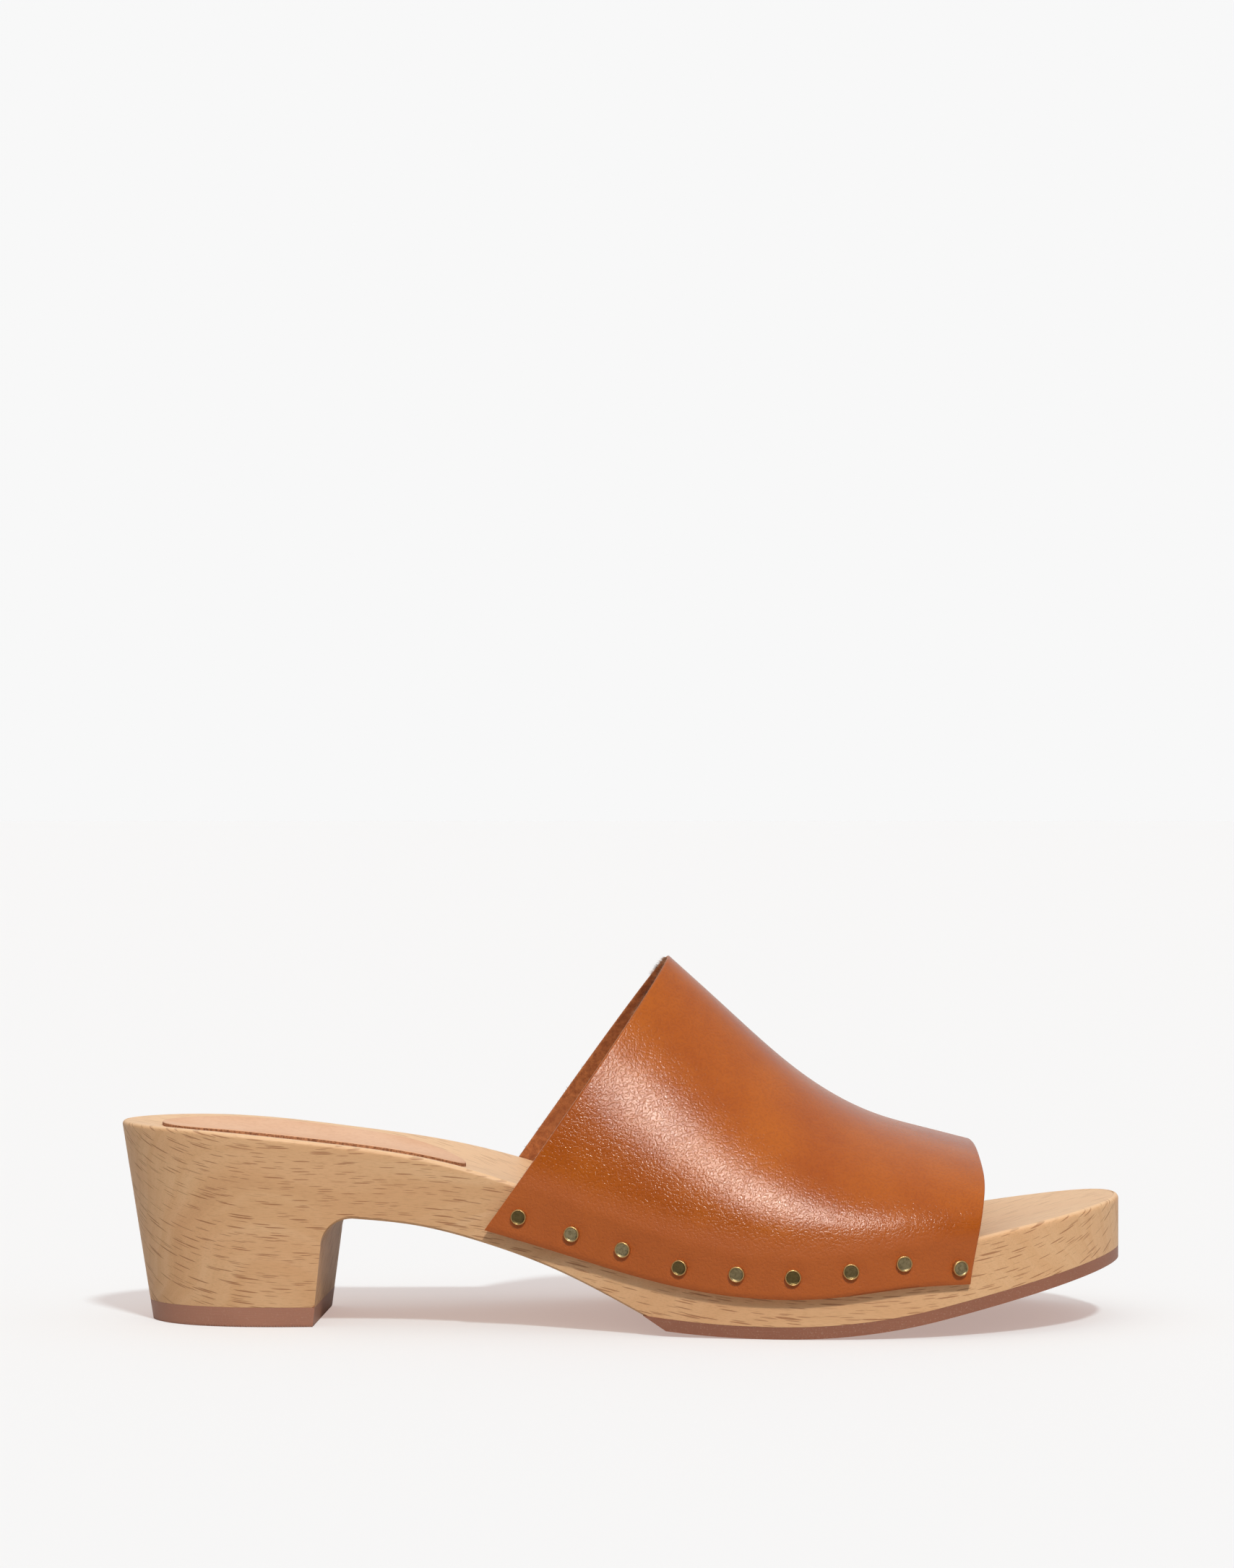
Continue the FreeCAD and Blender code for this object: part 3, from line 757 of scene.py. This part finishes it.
outer, inner, rows = upper_shell()
faces, kinds = shell_faces(*outer.shape[:2])
spans = np.linalg.norm(np.diff(outer, axis=1), axis=-1)
share = np.concatenate([np.zeros((len(outer), 1)), np.cumsum(spans, 1)], 1)
share = share / share[:, -1:]
lay = np.stack([share, np.broadcast_to(rows[:, None], share.shape)], -1).reshape(-1, 2)
upper = mesh_piece("leather_upper_shell", np.concatenate([outer.reshape(-1, 3),
                   inner.reshape(-1, 3)]), faces, [upper_leather(), flesh_side(), upper_edge()],
                   kinds, 60, np.concatenate([lay, lay]))
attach(upper, "root")
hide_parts("leather_upper")

# --- loose fibres --------------------------------------------------------------------------
# Where the knife left the flesh side ragged, at the top of the throat and at its lower corners,
# short fibres stand out of the cut edge.


def fibre_tufts():
    """Tapered three-sided blades that bend away from the throat's cut edge, in millimetres.

    Each blade's middle line is its root plus its length along the edge's outward way, plus a bend
    that grows with the square of the distance from the root."""
    chance = np.random.default_rng(11)
    edge_line, skin = outer[0], inner[0]
    back = outer[0] - outer[4]
    back = back / np.linalg.norm(back, axis=-1, keepdims=True)
    along = np.gradient(edge_line, axis=0)
    along = along / np.linalg.norm(along, axis=-1, keepdims=True)
    spots = np.concatenate([chance.uniform(0.30, 0.62, 520), chance.uniform(0.03, 0.2, 70),
                            chance.uniform(0.8, 0.97, 70)])
    pick = (spots * (len(edge_line) - 1)).astype(int)
    depth = chance.uniform(0.0, 0.75, len(spots))[:, None]
    root = skin[pick] * (1 - depth) + edge_line[pick] * depth - back[pick] * 0.12
    long = np.where((spots < 0.25) | (spots > 0.75), 0.7, 1.35)
    long = (long * chance.uniform(0.45, 1.0, len(spots)))[:, None]
    lean = along[pick] * chance.normal(0, 0.75, (len(spots), 1))
    droop = (skin[pick] - edge_line[pick]) * 0.3 * chance.uniform(0, 1.2, (len(spots), 1))
    way = back[pick] * 0.75 + lean
    t = np.linspace(0, 1, 5)[None, :, None]
    line = root[:, None] + way[:, None] * long[:, None] * t
    line = line + (droop + chance.normal(0, 0.22, (len(spots), 3)))[:, None] * t * t
    thick = chance.uniform(0.035, 0.07, len(spots))[:, None, None] * (1.05 - t)
    turnings = np.linspace(0, 2 * math.pi, 4)[:-1][None, None, :, None]
    side, up = along[pick][:, None, None], np.cross(along[pick], back[pick])[:, None, None]
    ring = np.cos(turnings) * side + np.sin(turnings) * up
    return line[:, :, None] + ring * thick[..., None]


def loose_fibre():
    """Undyed collagen fibre, browned where the dye has soaked in."""
    material, tree, surface = new_material("loose_fibre")
    place = put(tree, "TexCoord").outputs["Object"]
    patch = put(tree, "TexNoise", Vector=place, Scale=420.0, Detail=2.0).outputs[0]
    tree.links.new(tint(tree, fade(tree, patch, 0.35, 0.65), colour(104, 74, 54),
                        colour(182, 134, 98)), surface.inputs["Base Color"])
    tree.links.new(fade(tree, patch, 0.3, 0.7, 0.75, 0.95), surface.inputs["Roughness"])
    return material


def many_tubes(points):
    """Faces of several equal tubes, whose points are counted by tube, row and place in the ring."""
    count, rows, ring = points.shape[:3]
    single = tube_faces(rows, ring)
    return np.concatenate([single + rows * ring * number for number in range(count)])


blades = fibre_tufts()
tufts = mesh_piece("throat_fibres", blades.reshape(-1, 3), many_tubes(blades), [loose_fibre()])
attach(tufts, "root")

# --- tacks -----------------------------------------------------------------------------------
# Clog tacks of aged brass, nine a side: a disc head with a bright rolled rim round a sunk, dark
# centre. Each was driven by hand, so they tilt a little; their sunk centres are painted lighter or
# darker from tack to tack, a painted reflection of a lighter or darker surround.
tack_radius = 1.95


def tack_heads():
    """Profiles of (radius, height) turned about each tack's direction, tilted a few degrees."""
    chance = np.random.default_rng(5)
    profile = np.array([(0.02, 0.50), (0.5, 0.49), (1.0, 0.50), (1.38, 0.52), (1.50, 0.60),
                        (1.58, 0.74), (1.68, 0.80), (1.79, 0.77), (1.88, 0.64), (1.93, 0.42),
                        (tack_radius, 0.15), (tack_radius, -0.35), (1.4, -0.45), (0.02, -0.45)])
    angle = np.linspace(0, 2 * math.pi, 41)[:-1]
    parts, rim_share_and_painted_reflection = [], []
    for seat, way in zip(seats, ways):
        way = way + chance.normal(0, 0.035, 3)
        way = way / np.linalg.norm(way)
        first = np.cross(way, (0, 0, 1))
        first = first / np.linalg.norm(first)
        second = np.cross(way, first)
        spread = np.cos(angle)[:, None] * first + np.sin(angle)[:, None] * second
        ring = profile[:, 0, None, None] * spread + profile[:, 1, None, None] * way
        dent = 0.03 * chance.normal()
        ring = ring + dent * np.exp(-(profile[:, 0, None, None] / 1.1) ** 2) * way
        parts.append(seat + way * (leather_thick - 0.12) + ring)
        # Painted reflection: each head's sunk centre gets its own random tone, lighter or darker,
        # standing for the surround that head reflects.
        tone = np.full((len(profile), len(angle)), chance.random())
        rim_share_and_painted_reflection.append(np.stack([np.broadcast_to(profile[:, :1] / tack_radius, tone.shape), tone], -1))
    return np.array(parts), np.array(rim_share_and_painted_reflection)


def aged_brass():
    """Antique brass: bright where the rim is rubbed, olive-brown patina in the sunk centre, whose
    tone from tack to tack is painted reflection.
    """
    material, tree, surface = new_material("antique_brass")
    place = put(tree, "TexCoord").outputs["Object"]
    lay = put(tree, "SeparateXYZ", i0=put(tree, "UVMap", {"uv_map": "lay"}).outputs[0]).outputs
    spots = put(tree, "TexNoise", Vector=place, Scale=1700.0, Detail=4.0, Roughness=0.65).outputs[0]
    rubbed = fade(tree, lay[0], 0.79, 0.86)
    rubbed = sums(tree, "MULTIPLY", rubbed, fade(tree, spots, 0.25, 0.5, 0.55, 1.0))
    # The centre's tone, lighter or darker from tack to tack, is painted reflection of a lighter or
    # darker surround.
    centre = tint(tree, lay[1], colour(112, 96, 60), colour(172, 158, 124))
    centre = tint(tree, fade(tree, spots, 0.4, 0.7, 0, 0.6), centre, colour(88, 74, 44))
    tree.links.new(tint(tree, rubbed, centre, colour(206, 168, 112)), surface.inputs["Base Color"])
    tree.links.new(sums(tree, "ADD", 0.24, sums(tree, "MULTIPLY", spots, 0.3)),
                   surface.inputs["Roughness"])
    bump = put(tree, "Bump", Strength=0.25, Distance=0.00005, Height=spots)
    tree.links.new(bump.outputs[0], surface.inputs["Normal"])
    surface.inputs["Metallic"].default_value = 1.0
    return material


heads, rim_share_and_painted_reflection = tack_heads()
tacks = mesh_piece("brass_tacks", heads.reshape(-1, 3), many_tubes(heads), [aged_brass()], None, 50,
                   rim_share_and_painted_reflection.reshape(-1, 2))
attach(tacks, "root")
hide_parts(*[f"tack_{side}_{number}" for side in ("outer", "inner")
                     for number in range(1, 10)])

# --- floor, light and camera -----------------------------------------------------------------
# A plain pale floor, an even white surround that is brighter above and behind, one soft high key
# from the front, and a second light that only draws the gloss along the upper.
floor_mesh = bpy.data.meshes.new("floor")
floor_mesh.from_pydata([(-6, -6, 0), (6, -6, 0), (6, 14, 0), (-6, 14, 0)], [], [(0, 1, 2, 3)])
floor = bpy.data.objects.new("floor", floor_mesh)
bpy.context.scene.collection.objects.link(floor)
floor_material, floor_tree, floor_surface = new_material("pale_floor")
# Seen by the camera the floor glows, so that it reads evenly bright. The glow is warmer than its
# albedo, which lifts its shadow and paints it warm: painted light standing for light bounced off the
# wood.
to_camera = put(floor_tree, "LightPath").outputs["Is Camera Ray"]
paleness = tint(floor_tree, to_camera, (0.52, 0.505, 0.49, 1), (0.415, 0.516, 0.547, 1))
floor_tree.links.new(paleness, floor_surface.inputs["Base Color"])
glow = tint(floor_tree, to_camera, (0, 0, 0, 1), (0.463, 0.347, 0.312, 1))
floor_tree.links.new(glow, floor_surface.inputs["Emission Color"])
floor_surface.inputs["Emission Strength"].default_value = 1.0
floor_surface.inputs["Roughness"].default_value = 0.9
floor_surface.inputs["Specular IOR Level"].default_value = 0.1
floor_mesh.materials.append(floor_material)

world = bpy.data.worlds.new("surround")
bpy.context.scene.world = world
world.use_nodes = True
world_tree = world.node_tree
world_tree.nodes.clear()
even = put(world_tree, "Background", Color=(0.939, 0.939, 0.939, 1), Strength=1.0)
way = put(world_tree, "SeparateXYZ", i0=put(world_tree, "TexCoord").outputs["Generated"]).outputs
above = fade(world_tree, way[2], 0.0, 1.0)
behind_it = fade(world_tree, way[1], 0.25, 0.95, 0.0, 0.8)
right_of_it = fade(world_tree, way[0], 0.45, 1.0, 0.0, 0.6)
lit = sums(world_tree, "MAXIMUM", sums(world_tree, "MAXIMUM", above, behind_it), right_of_it)
dome = tint(world_tree, lit, (0.05, 0.05, 0.05, 1), (0.78, 0.79, 0.80, 1))
around = put(world_tree, "Background", Color=dome, Strength=1.0)
seen = put(world_tree, "LightPath").outputs["Is Camera Ray"]
mixed = put(world_tree, "MixShader", i0=seen, i1=around.outputs[0], i2=even.outputs[0])
world_end = put(world_tree, "OutputWorld")
world_tree.links.new(mixed.outputs[0], world_end.inputs[0])


def distant_light(name, towards, power, wide, tone):
    """Adds a sun that shines from a direction, as wide as an angle in degrees."""
    lamp = bpy.data.lights.new(name, "SUN")
    lamp.energy, lamp.color, lamp.angle = power, tone, math.radians(wide)
    holder = bpy.data.objects.new(name, lamp)
    bpy.context.scene.collection.objects.link(holder)
    holder.location = towards
    holder.rotation_euler = Vector(towards).to_track_quat("Z", "Y").to_euler()
    return holder


key = distant_light("key", (0.25, -0.77, 1.0), 2.15, 6, (1.0, 0.985, 0.96))
key.visible_glossy = False
gloss = distant_light("gloss", (-0.05, -0.93, 1.0), 2.6, 5, (1.0, 0.93, 0.84))
gloss.visible_diffuse = False

camera_data = bpy.data.cameras.new("camera")
camera_data.lens, camera_data.sensor_width = 97.82, 36.0
camera_data.sensor_fit = "AUTO"
camera_data.clip_start, camera_data.clip_end = 0.05, 60
camera = bpy.data.objects.new("camera", camera_data)
bpy.context.scene.collection.objects.link(camera)
camera.location = middle * 0.001 + (-0.001, -1.05, 0.1311)
camera.rotation_euler = (math.radians(90), 0, 0)
bpy.context.scene.camera = camera
bpy.context.scene.view_settings.view_transform = "Standard"
